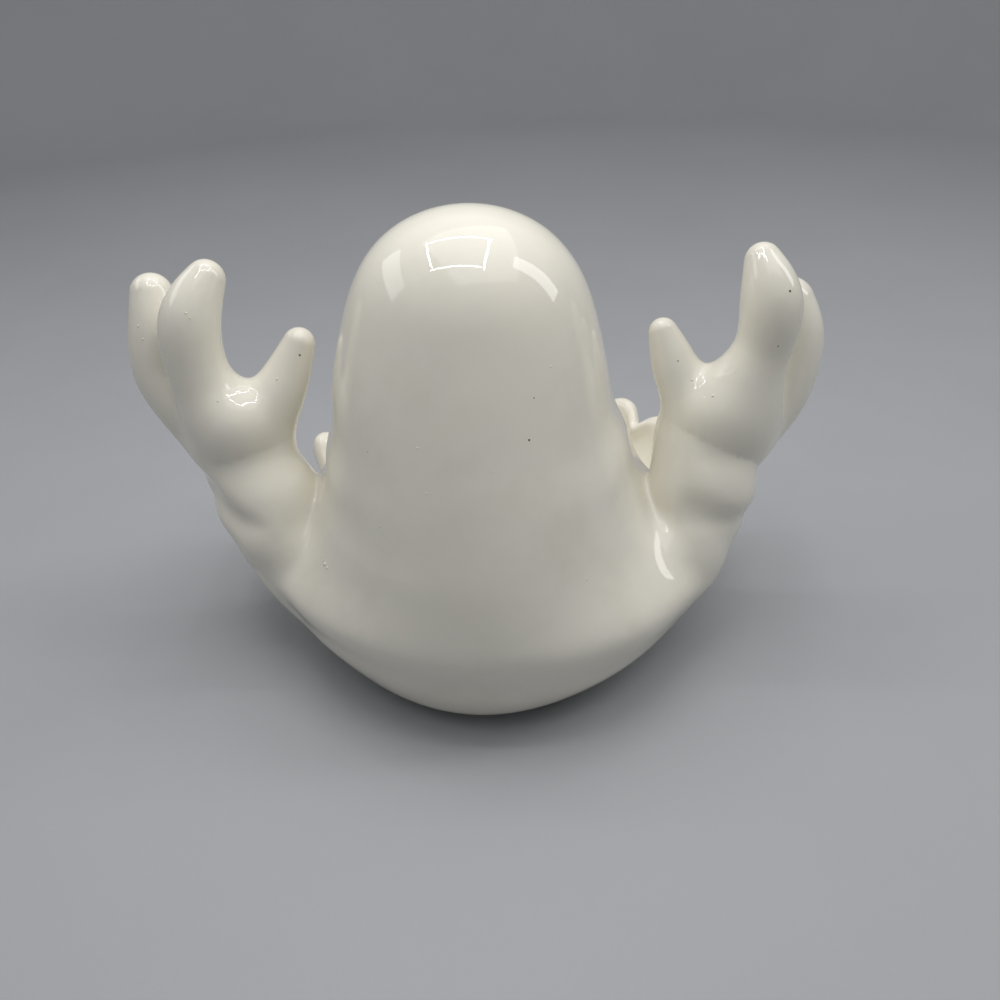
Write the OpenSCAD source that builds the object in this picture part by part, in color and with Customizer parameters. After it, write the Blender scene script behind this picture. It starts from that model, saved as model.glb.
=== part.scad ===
// Ceramic ghost figure: a hollow sheet-covered body rises from the back of a round bowl,
// the front of the bowl is a treat dish with a ruffled rim, and two raised arms end in
// three-fingered hands. The bowl's axis is the Z axis, the table is Z = 0 and the face
// looks towards -Y. Lengths are in millimetres and angles in degrees.

/* [Body] */
// Height from the table to the top of the head
body_h = 230; // [224:1:240]
// Height of the crown, where the head turns over
crown_z = 220; // [216:1:222]
// Width across the crown
crown_w = 73; // [64:1:80]
// Height of the brow
brow_z = 200; // [194:1:206]
// Width across the brow
brow_w = 104; // [96:1:112]
// Height of the middle of the head
head_z = 168; // [160:1:176]
// Width across the middle of the head
head_w = 127; // [118:1:134]
// How far the back of the head lies behind the bowl's axis
head_back = 92; // [86:1:98]
// How far the front of the head lies before the bowl's axis
head_front = 35; // [28:1:40]
// Height of the chest
chest_z = 128; // [120:1:134]
// Width across the chest
chest_w = 144; // [138:1:150]
// How far the back lies behind the axis at the chest
chest_back = 114; // [108:1:120]
// How far the chest lies before the axis
chest_front = 38; // [34:1:42]
// Height of the waist, just above the arms
waist_z = 102; // [96:1:108]
// Width across the waist
waist_w = 157; // [150:1:166]
// How far the back lies behind the axis at the waist
waist_back = 127; // [122:1:132]
// How far the front lies before the axis at the waist
waist_front = 41; // [37:1:44]
// Height at which the sheet flares out under the arms
flare_z = 74; // [68:1:80]
// Width across the flare
flare_w = 199; // [190:1:208]
// How far the back lies behind the axis at the flare
flare_back = 135; // [131:1:137]
// How far the front lies before the axis at the flare
flare_front = 45; // [41:1:48]
// How far the sheet's front lies before the axis where it meets the dish
apron_front = 50; // [46:1:54]
// How far the sheet's front lies before the axis where it stands on the dish's floor
apron_foot = 55; // [50:1:60]
// How far the belly stands out before the sheet on either side of it
belly_out = 24; // [14:1:30]
// Width over which the belly stands out
belly_w = 168; // [150:2:184]
// Thickness of the body's wall
wall = 7; // [5:0.5:8]

/* [Bowl] */
// Height of the bowl's widest part, where the body sits on its rim
seam_z = 50; // [44:1:56]
// Width across the bowl at its widest
bowl_w = 264; // [250:1:280]
// How far the bowl reaches behind its axis
bowl_back = 137; // [134:1:144]
// How far the bowl reaches before its axis
bowl_front = 133; // [126:1:140]
// How much the bowl's wall is thicker than the body's wall
bowl_extra = 1; // [0.5:0.5:2]
// Roundness of the bowl's side, where 1 is a straight cone and 2 a quarter circle
bowl_round = 1.4; // [1.2:0.1:2]
// Height of the unglazed foot disc
foot_h = 5; // [4:0.5:8]
// Diameter of the foot disc
foot_d = 160; // [130:1:164]
// How far the bowl's flat underside reaches past the foot disc
underside_rim = 4; // [2:0.5:8]
// How far the underside reaches back past that
underside_back = 28; // [20:1:34]
// Diameter of the air hole through the foot
air_d = 10; // [6:1:14]
// Distance of the air hole behind the axis
air_y = 42; // [36:1:60]

/* [Dish rim] */
// Mean height of the ruffled rim
rim_h = 55; // [50:1:62]
// How much higher the rim runs on the ghost's right side than in the middle
rim_sway = 11; // [0:1:18]
// Number of ruffles that a full turn of the rim would hold
ruffles = 26.5; // [18:0.5:28]
// How far a ruffle rises and falls
ruffle_up = 6; // [2:0.5:7]
// How far a ruffle leans out and in
ruffle_out = 2; // [0:0.5:4]
// Angle of one ruffle's crest
ruffle_at = 228; // [220:1:236]
// Depth of the notch in the rim before the left arm
notch_depth = 33; // [10:1:36]
// Angle of the left notch
notch_left = -31; // [-34:1:-28]
// Angle of the right notch
notch_right = 206; // [202:1:210]
// Depth of the right notch as a share of the left one
notch_share = 0.4; // [0:0.1:1]

/* [Arms] */
// Thickness of the sleeve's two rolls
roll_d = 57; // [53:1:63]
// Thickness of the arm at the crease between the rolls
crease_d = 53; // [49:1:57]
// Thickness of the wrist
wrist_d = 51; // [44:1:54]
// How far the wrist's middle stands in from the bowl's widest part
wrist_in = 11; // [8:1:16]
// Height of the wrist, where the hand joins the sleeve
wrist_z = 102; // [98:1:106]
// How far the upper roll's middle stands in from the bowl's widest part
upper_roll_in = 18; // [14:1:24]
// Height of the upper roll
upper_roll_z = 76; // [70:1:80]
// How far the lower roll's middle stands in from the bowl's widest part
lower_roll_in = 33; // [28:1:37]
// Height of the lower roll
lower_roll_z = 43; // [38:1:47]
// How far the wrists and upper rolls lie behind the bowl's axis
arm_y = 24; // [18:1:30]
// How far the lower rolls lie behind the upper ones
lower_roll_back = 10; // [6:1:14]
// Thickness of the sleeve's wall
arm_wall = 7; // [5:0.5:9]

/* [Hands] */
// Thickness of the palm
palm_d = 43; // [38:1:48]
// Thickness of a thumb at its tip
thumb_d = 17.5; // [16:0.5:21]
// Thickness of an inner finger at its tip
inner_finger_d = 22; // [20:0.5:25]
// Thickness of an outer finger at its tip
outer_finger_d = 25; // [22:0.5:28]
// How much thicker a finger is at its root than at its tip
finger_taper = 10; // [6:0.5:12]
// How far the thumbs' tips lie behind the bowl's axis
thumb_y = 14; // [8:1:18]
// How far the inner fingers' tips lie behind the bowl's axis
inner_y = 20; // [16:1:26]
// How far the outer fingers' tips lie behind the bowl's axis
outer_y = 1; // [-4:1:8]

/* [Left hand] */
// How far the left thumb's tip leans in from the wrist
left_thumb_in = 33; // [28:1:37]
// Height of the left thumb's tip
left_thumb_z = 170; // [162:1:177]
// How far the left inner finger's tip leans out from the wrist
left_inner_out = 6; // [2:1:12]
// Height of the left inner finger's tip
left_inner_z = 207; // [198:1:213]
// How far the left outer finger's tip leans out from the wrist
left_outer_out = 40; // [35:1:44]
// Height of the left outer finger's tip
left_outer_z = 195; // [185:1:200]
// How far the left outer finger bows outwards
left_outer_bow = 8; // [3:1:10]

/* [Right hand] */
// How far the right thumb's tip leans in from the wrist
right_thumb_in = 27; // [22:1:31]
// Height of the right thumb's tip
right_thumb_z = 170; // [162:1:177]
// How far the right inner finger's tip leans out from the wrist
right_inner_out = 17; // [12:1:22]
// Height of the right inner finger's tip
right_inner_z = 208; // [198:1:214]
// How far the right outer finger's tip leans out from the wrist
right_outer_out = 36; // [32:1:41]
// Height of the right outer finger's tip
right_outer_z = 184; // [176:1:192]
// How far the right outer finger bows outwards
right_outer_bow = 5; // [3:1:10]

/* [Face] */
// Width of an eye
eye_w = 20; // [14:1:24]
// Height of an eye
eye_h = 30; // [22:1:34]
// Distance between the middles of the eyes
eye_gap = 46; // [38:1:54]
// Height of the eyes above the table
eye_z = 180; // [176:1:186]
// Width of the mouth
mouth_w = 26; // [18:1:32]
// Height of the mouth
mouth_h = 32; // [22:1:36]
// Height of the mouth's middle above the table
mouth_z = 146; // [140:1:148]
// Depth of the eyes' floor below the middle of each eye
eye_depth = 4.5; // [4:0.5:5.5]
// Depth of the mouth's floor below the mouth's middle
mouth_depth = 5; // [4.5:0.5:5.5]
// Thickness of the black glaze in the eyes and mouth
glaze_d = 2; // [1:0.5:2.5]

/* [Hidden] */
white_glaze = [0.93, 0.91, 0.86];
black_glaze = [0.04, 0.04, 0.05];
bare_clay = [0.78, 0.72, 0.62];

// Counts of steps in the lofted shapes
body_sides = 48;
body_steps = 4;
limb_sides = 20;
limb_steps = 4;
finger_steps = 3;
tip_steps = 4;
rim_steps = 7;
side_step = 6;
ruffle_step = 2.5;
oval_fn = 32;

// Derived sizes of the body and the bowl
bowl_wall = wall + bowl_extra;
floor_z = foot_h + bowl_wall;
under_r = foot_d / 2 + underside_rim;
head_y = (head_back - head_front) / 2;
lip_h = bowl_wall / 2;

// Places of the arms' and hands' middles, out from the bowl's axis
wrist_x = bowl_w / 2 - wrist_in;
upper_roll_x = bowl_w / 2 - upper_roll_in;
lower_roll_x = bowl_w / 2 - lower_roll_in;
left_thumb_x = wrist_x - left_thumb_in;
left_inner_x = wrist_x + left_inner_out;
left_outer_x = wrist_x + left_outer_out;
right_thumb_x = wrist_x - right_thumb_in;
right_inner_x = wrist_x + right_inner_out;
right_outer_x = wrist_x + right_outer_out;

// Where the widest points of the outline lie, as shares of the head's distance behind the axis
flare_lean = 0.4;
waist_lean = 0.75;
chest_lean = 0.9;

// Shares of the belly's depth that are left higher up, and how softly its sides fade out
flare_belly = 0.8;
waist_belly = 0.43;
chest_belly = 0.06;
belly_fade = 1.7;

// Size of the blocks that cut shapes off and depth of the cuts for the face
big = 400;
pocket_h = 30;

// Angles at which the dish's free rim starts before each arm, and how wide the change is
rim_left = -14;
rim_right = 194;
rim_blend = 8;
notch_width = 6.5;

// Rows of the body's outline: height, middle, half width, depth behind and before the middle,
// the belly's part of that last depth and half the belly's width
function row(z, mid, w, back, front, belly) =
    [z, mid, w / 2, back - mid, front + mid, belly_out * belly, belly_w / 2];
function round_row(z, w) = [z, head_y, w / 2, w / 2, w / 2, 0, belly_w / 2];
top_rows = [
    row(seam_z, 0, bowl_w, bowl_back, apron_front, 1),
    row(flare_z, head_y * flare_lean, flare_w, flare_back, flare_front, flare_belly),
    row(waist_z, head_y * waist_lean, waist_w, waist_back, waist_front, waist_belly),
    row(chest_z, head_y * chest_lean, chest_w, chest_back, chest_front, chest_belly),
    row(head_z, head_y, head_w, head_back, head_front, 0),
    round_row(brow_z, brow_w),
    round_row(crown_z, crown_w),
    round_row(body_h, 0)
];
past_top = round_row(crown_z, -crown_w);

// Point u of the way from row b to row c of a smooth curve through a, b, c and d
function between(a, b, c, d, u) =
    0.5 * (2 * b + (c - a) * u + (2 * a - 5 * b + 4 * c - d) * u * u
        + (3 * b - a - 3 * c + d) * u * u * u);

// Every row of a smooth curve through the rows of t, which runs on from first to last
function smooth_rows(t, first, last, steps) =
    let (n = len(t))
    [
        for (i = [0 : n - 2])
            for (k = [0 : steps - 1])
                between(i == 0 ? first : t[i - 1], t[i], t[i + 1],
                    i == n - 2 ? last : t[i + 2], k / steps),
        t[n - 1]
    ];

// Share of the way from the underside's edge to the bowl's widest part, at height z
function bulge(z) =
    let (u = max(0, min(1, (z - foot_h) / (seam_z - foot_h))))
    pow(1 - pow(1 - u, bowl_round), 1 / bowl_round);
function bowl_side(z) = under_r + (bowl_w / 2 - under_r) * bulge(z);
function bowl_rear(z) =
    under_r + underside_back + (bowl_back - under_r - underside_back) * bulge(z);
function bowl_fore(z) = under_r + (bowl_front - under_r) * bulge(z);

// Below the seam the body is only an apron across the bowl's inside
low_steps = 3;
function apron_row(z) =
    let (
        half = bowl_side(z) - bowl_wall,
        more = (apron_foot - apron_front) * (seam_z - z) / (seam_z - floor_z)
    )
    [z, 0, half, half, apron_front + more, belly_out + more, belly_w / 2];
apron_rows = [
    for (i = [0 : low_steps - 1]) apron_row(floor_z + (seam_z - floor_z) * i / low_steps)
];
before_seam = [
    2 * seam_z - flare_z, 0, bowl_side(seam_z), bowl_rear(seam_z), apron_front + 3, belly_out,
    belly_w / 2
];
skin_rows = smooth_rows(top_rows, before_seam, past_top, body_steps);

// Rows moved inwards by d, square to the outline or, where level is true, at their own height
function inset_rows(t, d, level) =
    let (n = len(t))
    [
        for (k = [0 : n - 1])
            let (
                below = t[max(k - 1, 0)],
                above = k == n - 1 ? [t[k - 1][0], 0, -t[k - 1][2]] : t[k + 1],
                rise = above[0] - below[0],
                widen = above[2] - below[2],
                run = norm([rise, widen]),
                flat = level || k == 0,
                side = flat ? d : d * rise / run,
                drop = flat ? 0 : d * widen / run
            )
            [t[k][0] + drop, t[k][1], max(0, t[k][2] - side), max(0, t[k][3] - side),
                max(0, t[k][4] - side), t[k][5], t[k][6] - side]
    ];

// How far the belly stands out of a row at the place x across
function belly_at(r, x) = r[5] * pow(max(0, 1 - pow(x / r[6], 2)), belly_fade);

// One ring of points of a row, starting at +X and turning towards +Y
function ring(r, sides) = [
    for (i = [0 : sides - 1])
        let (
            t = 360 * i / sides,
            x = r[2] * cos(t),
            y = sin(t) > 0 ? r[3] * sin(t) : (r[4] - r[5]) * sin(t) - belly_at(r, x)
        )
        [x, r[1] + y, r[0]]
];

// Side faces between rings of n points, for the given number of rings
function ring_faces(rings, n) = [
    for (k = [0 : rings - 2])
        for (i = [0 : n - 1])
            let (j = (i + 1) % n, a = k * n, b = (k + 1) * n)
            each [[a + i, b + i, b + j], [a + i, b + j, a + j]]
];

// Closed solid through rings, with a flat start and either a flat or a pointed end
module ring_solid(rings, point = undef) {
    n = len(rings[0]);
    m = len(rings);
    body_points = [for (r = rings) each r];
    points = point == undef ? body_points : concat(body_points, [point]);
    start_face = [[for (i = [0 : n - 1]) i]];
    end_face = point == undef
        ? [[for (i = [n - 1 : -1 : 0]) (m - 1) * n + i]]
        : [for (i = [0 : n - 1]) [(m - 1) * n + i, m * n, (m - 1) * n + (i + 1) % n]];
    polyhedron(points, concat(start_face, ring_faces(m, n), end_face), convexity = 10);
}

// Wall of the body: an apron along the front half below the seam, and a full shell above it
module body_wall() {
    outer = concat(apron_rows, skin_rows);
    inner = concat(inset_rows(apron_rows, wall, true), inset_rows(skin_rows, wall, false));
    n = body_sides;
    m = len(outer) - 1;
    points = concat(
        [for (k = [0 : m - 1]) each ring(outer[k], n)],
        [for (k = [0 : m - 1]) each ring(inner[k], n)],
        [[0, head_y, body_h], [0, head_y, body_h - wall]]
    );
    in = m * n;
    top = 2 * m * n;
    sides = [
        for (k = [0 : m - 2])
            for (i = [(k < low_steps ? n / 2 : 0) : n - 1])
                let (j = (i + 1) % n, a = k * n, b = a + n)
                each [
                    [a + i, b + i, b + j], [a + i, b + j, a + j],
                    [in + a + i, in + b + j, in + b + i], [in + a + i, in + a + j, in + b + j]
                ]
    ];
    foot_edge = [
        for (i = [0 : n - 1])
            let (j = (i + 1) % n, a = i < n / 2 ? low_steps * n : 0)
            each [[a + i, a + j, in + a + j], [a + i, in + a + j, in + a + i]]
    ];
    apron_ends = [
        for (k = [0 : low_steps - 1])
            let (a = k * n, b = a + n, h = n / 2)
            each [
                [a, b, in + b], [a, in + b, in + a],
                [a + h, in + b + h, b + h], [a + h, in + a + h, in + b + h]
            ]
    ];
    crown = [
        for (i = [0 : n - 1])
            let (j = (i + 1) % n, a = (m - 1) * n)
            each [[a + i, top, a + j], [in + a + i, in + a + j, top + 1]]
    ];
    polyhedron(points, concat(sides, foot_edge, apron_ends, crown), convexity = 10);
}

// Share of the free ruffled rim at an angle: 0 under the body and 1 along the dish
function free_rim(t) =
    let (
        from_left = (rim_left - (t > 270 ? t - 360 : t)) / rim_blend,
        from_right = (t - rim_right) / rim_blend,
        u = max(0, min(1, t > 270 || t < rim_left ? from_left : from_right))
    )
    u * u * (3 - 2 * u);
function notch(t, at) = exp(-pow((t - at) / notch_width, 2));
function rim_z(t) =
    let (
        wave = ruffle_up * cos(ruffles * (t - ruffle_at)),
        left = notch_depth * notch(t - 360, notch_left),
        right = notch_depth * notch_share * notch(t, notch_right),
        free = rim_h - rim_sway * cos(t) + wave - left - right
    )
    seam_z + (free - seam_z) * free_rim(t);

// Point of the bowl's outside at angle t and height z, moved inwards by d
function bowl_point(t, z, d) =
    let (
        lean = ruffle_out * free_rim(t) * pow(max(0, z / rim_h), 2) * cos(ruffles * (t - ruffle_at)),
        depth = sin(t) > 0 ? bowl_rear(z) : bowl_fore(z)
    )
    [(bowl_side(z) + lean - d) * cos(t), (depth + lean - d) * sin(t), z];

// Angles round the bowl: coarse under the body and fine along the ruffles
rim_angles = [
    for (t = [0 : side_step : 192]) t,
    for (t = [192 + ruffle_step : ruffle_step : 347]) t,
    348,
    354
];

// Outline of the bowl's wall at one angle, up the outside, over the lip and down the inside
function wall_points(t) =
    let (
        lip = 0.01 + lip_h * free_rim(t),
        top = rim_z(t) - lip,
        half = bowl_wall / 2
    )
    [
        for (i = [0 : rim_steps - 1])
            bowl_point(t, foot_h + (top - foot_h) * i / rim_steps, 0),
        for (a = [180 : -45 : 0])
            bowl_point(t, top, half + half * cos(a)) + [0, 0, lip * sin(a)],
        for (i = [rim_steps - 1 : -1 : 0])
            bowl_point(t, floor_z + (top - floor_z) * i / rim_steps, bowl_wall)
    ];

module bowl_solid() {
    columns = [for (t = rim_angles) wall_points(t)];
    n = len(columns);
    m = len(columns[0]);
    under = n * m;
    points = concat([for (c = columns) each c], [[0, 0, foot_h], [0, 0, floor_z]]);
    sides = [
        for (i = [0 : n - 1])
            for (k = [0 : m - 2])
                let (j = (i + 1) % n, a = i * m + k, b = j * m + k)
                each [[a, b + 1, b], [a, a + 1, b + 1]]
    ];
    caps = [
        for (i = [0 : n - 1])
            let (j = (i + 1) % n)
            each [[under, i * m, j * m], [under + 1, j * m + m - 1, i * m + m - 1]]
    ];
    polyhedron(points, concat(sides, caps), convexity = 10);
}

// Solid that the arms are pressed against: the whole bowl with the body's outside over it
module arm_seat() {
    rows = concat(
        [
            for (i = [0 : low_steps + 1])
                let (z = foot_h + (seam_z - foot_h) * i / (low_steps + 1))
                [z, 0, bowl_side(z), bowl_rear(z), bowl_fore(z), 0, belly_w / 2]
        ],
        [for (k = [1 : len(skin_rows) - 1]) skin_rows[k]]
    );
    m = len(rows);
    ring_solid([for (k = [0 : m - 2]) ring(rows[k], body_sides)], [0, head_y, body_h]);
}

// Everything above a height
module above(z) {
    translate([-big / 2, -big / 2, z])
        cube([big, big, big]);
}

// Radius of the head's front at a height, about the upright line through its middle
function head_r(z) =
    let (
        k = max([for (i = [0 : len(skin_rows) - 2]) skin_rows[i][0] <= z ? i : 0]),
        a = skin_rows[k],
        b = skin_rows[k + 1],
        u = (z - a[0]) / (b[0] - a[0])
    )
    (a[4] - a[1] + head_y) * (1 - u) + (b[4] - b[1] + head_y) * u;

// Oval disc let into the head's front, turned to one side and leaning with the surface
module face_disc(turn, z, w, h, depth, thickness) {
    lean = atan2(head_r(z - h / 2) - head_r(z + h / 2), h);
    translate([0, head_y, z])
        rotate([0, 0, turn])
            translate([0, -head_r(z), 0])
                rotate([90 - lean, 0, 0])
                    translate([0, 0, -depth])
                        linear_extrude(height = thickness)
                            polygon([
                                for (i = [0 : oval_fn - 1])
                                    let (t = 360 * i / oval_fn)
                                    [w / 2 * cos(t), h / 2 * sin(t)]
                            ]);
}

module eye(side, thickness) {
    turn = asin(eye_gap / 2 / head_r(eye_z));
    face_disc(side * turn, eye_z, eye_w, eye_h, eye_depth, thickness);
}

module open_mouth(thickness) {
    face_disc(0, mouth_z, mouth_w, mouth_h, mouth_depth, thickness);
}

// Smooth round limb through rows of [x, y, z, radius], with a flat start and a round tip
module limb(path, steps) {
    n = len(path);
    rows = smooth_rows(path, 2 * path[0] - path[1], 2 * path[n - 1] - path[n - 2], steps);
    m = len(rows);
    ahead = [for (k = [0 : m - 1]) spot(rows[min(k + 1, m - 1)]) - spot(rows[max(k - 1, 0)])];
    last = rows[m - 1];
    dir = ahead[m - 1] / norm(ahead[m - 1]);
    tip = [
        for (j = [1 : tip_steps - 1])
            let (a = 90 * j / tip_steps)
            limb_ring(spot(last) + dir * last[3] * sin(a), dir, last[3] * cos(a))
    ];
    body = [for (k = [0 : m - 1]) limb_ring(spot(rows[k]), ahead[k], rows[k][3])];
    ring_solid(concat(body, tip), spot(last) + dir * last[3]);
}
function spot(r) = [r[0], r[1], r[2]];
function limb_ring(centre, dir, r) =
    let (
        d = dir / norm(dir),
        side_raw = [0, 1, 0] - d * d[1],
        side = side_raw / norm(side_raw),
        out = cross(d, side)
    )
    [
        for (i = [0 : limb_sides - 1])
            let (t = 360 * i / limb_sides)
            centre + side * r * cos(t) + out * r * sin(t)
    ];

// Sleeve with its two rolls, grown by d
module sleeve(d) {
    root_in = 22;
    root_drop = 18;
    root_r = 17;
    above_wrist = 18;
    lower_y = arm_y + lower_roll_back;
    crease_x = (lower_roll_x + upper_roll_x) / 2 + 1;
    crease_z = (lower_roll_z + upper_roll_z) / 2;
    limb([
        [lower_roll_x - root_in, lower_y + lower_roll_back, lower_roll_z - root_drop, root_r + d],
        [lower_roll_x, lower_y, lower_roll_z, roll_d / 2 + d],
        [crease_x, (arm_y + lower_y) / 2, crease_z, crease_d / 2 + d],
        [upper_roll_x, arm_y, upper_roll_z, roll_d / 2 + d],
        [wrist_x, arm_y, wrist_z, wrist_d / 2 + d],
        [wrist_x + 4, arm_y, wrist_z + above_wrist, wrist_d / 2 + d]
    ], limb_steps);
}

// Left arm, whose hollow ends below the wrist
module arm() {
    difference() {
        sleeve(0);
        above(wrist_z);
        difference() {
            sleeve(-arm_wall);
            above(wrist_z - arm_wall);
        }
        arm_seat();
    }
}

// Finger from its root inside the palm over a knuckle to its tip, bowed outwards
module finger(root, knuckle, tip, tip_d, bow) {
    end = tip - [0, 0, tip_d / 2];
    span = end - knuckle;
    low = knuckle + span / 3 + [bow, 0, 0];
    high = knuckle + span * 2 / 3 + [bow, 0, 0];
    limb([
        concat(root, (tip_d + finger_taper) / 2),
        concat(knuckle, (tip_d + finger_taper) / 2 - 1),
        concat(low, (tip_d + finger_taper / 2) / 2),
        concat(high, (tip_d + finger_taper / 4) / 2),
        concat(end, tip_d / 2)
    ], finger_steps);
}

// Palm that swells above the wrist and rounds off between the fingers
module palm(hand_y) {
    limb([
        [wrist_x - 2, arm_y, wrist_z - 12, wrist_d / 2],
        [wrist_x, arm_y, wrist_z, wrist_d / 2],
        [wrist_x + 7, hand_y, wrist_z + 16, palm_d / 2 + 1],
        [wrist_x + 12, hand_y, wrist_z + 30, palm_d / 2 - 3]
    ], finger_steps);
}

// Left hand with its thumb, inner and outer finger reaching the given tips
module hand(thumb_tip, inner_tip, outer_tip, outer_bow) {
    hand_y = arm_y - 4;
    outer_root_z = outer_tip[2] - 78;
    difference() {
        union() {
            palm(hand_y);
            finger([wrist_x - 4, hand_y, wrist_z + 8], [wrist_x - 8, hand_y - 1, wrist_z + 24],
                thumb_tip, thumb_d, -2);
            finger([wrist_x + 8, hand_y, wrist_z + 18], [wrist_x + 13, hand_y, wrist_z + 33],
                inner_tip, inner_finger_d, 6);
            finger([wrist_x + 20, hand_y - 3, outer_root_z],
                [wrist_x + 38, (hand_y + outer_y) / 2, outer_root_z + 9],
                outer_tip, outer_finger_d, outer_bow);
        }
        translate([0, 0, wrist_z - big])
            above(0);
    }
}

module body_shell() {
    color(white_glaze)
        difference() {
            body_wall();
            eye(1, pocket_h);
            eye(-1, pocket_h);
            open_mouth(pocket_h);
        }
}

module base_bowl() {
    color(white_glaze)
        difference() {
            bowl_solid();
            translate([0, air_y, 0])
                cylinder(d = air_d, h = seam_z);
        }
}

module foot() {
    color(bare_clay)
        difference() {
            cylinder(d = foot_d, h = foot_h);
            translate([0, air_y, -foot_h])
                cylinder(d = air_d, h = foot_h * 3);
        }
}

module left_arm() {
    color(white_glaze)
        arm();
}

module right_arm() {
    color(white_glaze)
        mirror([1, 0, 0])
            arm();
}

module left_hand() {
    color(white_glaze)
        hand([left_thumb_x, thumb_y, left_thumb_z], [left_inner_x, inner_y, left_inner_z],
            [left_outer_x, outer_y, left_outer_z], left_outer_bow);
}

module right_hand() {
    color(white_glaze)
        mirror([1, 0, 0])
            hand([right_thumb_x, thumb_y, right_thumb_z],
                [right_inner_x, inner_y, right_inner_z],
                [right_outer_x, outer_y, right_outer_z], right_outer_bow);
}

module left_eye() {
    color(black_glaze)
        eye(1, glaze_d);
}

module right_eye() {
    color(black_glaze)
        eye(-1, glaze_d);
}

module mouth() {
    color(black_glaze)
        open_mouth(glaze_d);
}

body_shell();
base_bowl();
foot();
left_arm();
right_arm();
left_hand();
right_hand();
left_eye();
right_eye();
mouth();
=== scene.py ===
"""Looks of the ceramic ghost treat dish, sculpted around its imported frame.

The castings are worked out as signed fields in millimetres, in the part's own frame: the
bowl's axis is Z, the table is Z = 0 and the face looks towards -Y. One surface is drawn round
all the fields, parted along the seams where the castings are luted together, and every part
is closed behind its seams. Meshes are stored in metres.
"""
import math

import bpy
import numpy as np
from mathutils import Matrix, Vector


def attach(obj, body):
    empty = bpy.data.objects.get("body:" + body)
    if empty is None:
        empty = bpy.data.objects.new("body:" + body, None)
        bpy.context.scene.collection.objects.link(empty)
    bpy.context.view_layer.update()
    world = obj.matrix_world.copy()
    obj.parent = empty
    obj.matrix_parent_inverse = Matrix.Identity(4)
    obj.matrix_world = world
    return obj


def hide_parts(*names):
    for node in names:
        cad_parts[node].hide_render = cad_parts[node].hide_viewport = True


bl_info = {
    "name": "Ceramic Ghost Dish",
    "version": (1, 0, 0),
    "blender": (4, 5, 0),
    "location": "View3D > Sidebar > Ghost Dish",
    "description": "Sculpts and glazes a ghost treat dish around its packed frame",
    "category": "Add Mesh",
}

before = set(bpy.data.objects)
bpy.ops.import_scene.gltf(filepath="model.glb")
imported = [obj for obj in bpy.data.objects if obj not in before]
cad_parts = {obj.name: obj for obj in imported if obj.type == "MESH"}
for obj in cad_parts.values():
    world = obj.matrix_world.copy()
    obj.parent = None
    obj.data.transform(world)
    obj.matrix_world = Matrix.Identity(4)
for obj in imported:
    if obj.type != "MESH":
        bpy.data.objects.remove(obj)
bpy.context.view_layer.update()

MM = 0.001
# Heights of the seams and of the bowl's floor, in millimetres like all sizes below
SEAM_Z = 50.0
WRIST_Z = 102.0
UNDER_Z, FLOOR_Z = 5.0, 13.0
FLOOR_RADIUS = 96.0
FOOT_RADIUS = 80.0
# Top of the sheet and of the belly under it, and the height of each dome
BODY_TOP, BODY_DOME = 230.0, 110.0
BELLY_TOP, BELLY_DOME = 152.0, 54.0
BELLY_BACK = 60.0
# Cuts keep at least this far from the corners of the faces
LEAST_CUT = 0.2
# Field value far from any surface, and how far apart a slope is measured
FAR = 99.0
PROBE = 0.4

# Rows of the sheet-covered body: height, half width, middle, depth behind and before it
CLOAK_ROWS = [
    (4, 82.9, 0, 114.6, 30), (9.5, 93.3, 0, 121.1, 30), (14, 99.8, 0, 123.8, 29),
    (23, 109.7, 0, 127.5, 28), (32, 115.4, 0, 128.7, 27), (41, 121.6, 0, 132, 26),
    (50, 125.8, 0, 134.9, 26), (56, 121, 2.5, 132.5, 28), (62, 112.2, 5.5, 128.4, 31),
    (74, 96.7, 11.4, 119.6, 37), (88, 86.4, 17.2, 110, 44), (102, 80.1, 21.4, 100.7, 52),
    (115, 77, 24, 93, 58), (128, 72, 26, 85.6, 62.5), (148, 68.3, 28, 75, 64.5),
    (168, 64.9, 28.5, 67, 64.7), (185, 62.8, 28.5, 62, 62.2), (200, 61.9, 28.5, 60, 61.4),
    (232, 61.7, 28.5, 59.5, 61),
]
# How far the body stands to its left at a height, and how far its lower back swings to the right
SHIFT_HEIGHTS = [0, 40, 60, 100, 140, 185, 232]
SHIFT_VALUES = [0.8, -1.3, -0.1, -0.5, 1.6, 0.7, 1.1]
SKEW_HEIGHTS = [0, 30, 60, 90]
SKEW_VALUES = [0, -7.6, -4.2, 0]
# Rows of the belly that stands in the dish: height, half width, depth before the axis
BELLY_ROWS = [
    (4, 80, 58), (13, 77, 56), (30, 73, 53), (50, 70, 50), (74, 66, 45.5), (102, 60, 41.5),
    (128, 54, 37), (152, 50, 33),
]
# The dish's wall: height and outer radius
DISH_ROWS = [
    (4, 84.5), (9.5, 95.6), (14, 102.8), (23, 113.7), (32, 122.1), (41, 128.3), (50, 131.8),
    (60, 133.4), (70, 134.4), (84, 135.2),
]
# Lobes of the ruffled rim: angle, top, and how fast they fall on either side
RIM_LOBES = [
    (214.5, 66.0, 0.23, 0.23), (228.3, 67.5, 0.23, 0.23), (242.0, 65.5, 0.23, 0.22),
    (255.5, 64.0, 0.22, 0.23), (269.0, 62.0, 0.24, 0.22), (282.5, 60.5, 0.22, 0.22),
    (296.0, 59.5, 0.22, 0.23), (309.5, 58.5, 0.23, 0.22), (323.8, 58.5, 0.22, 0.60),
    (342.5, 48.0, 0.20, 0.10),
]
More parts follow.
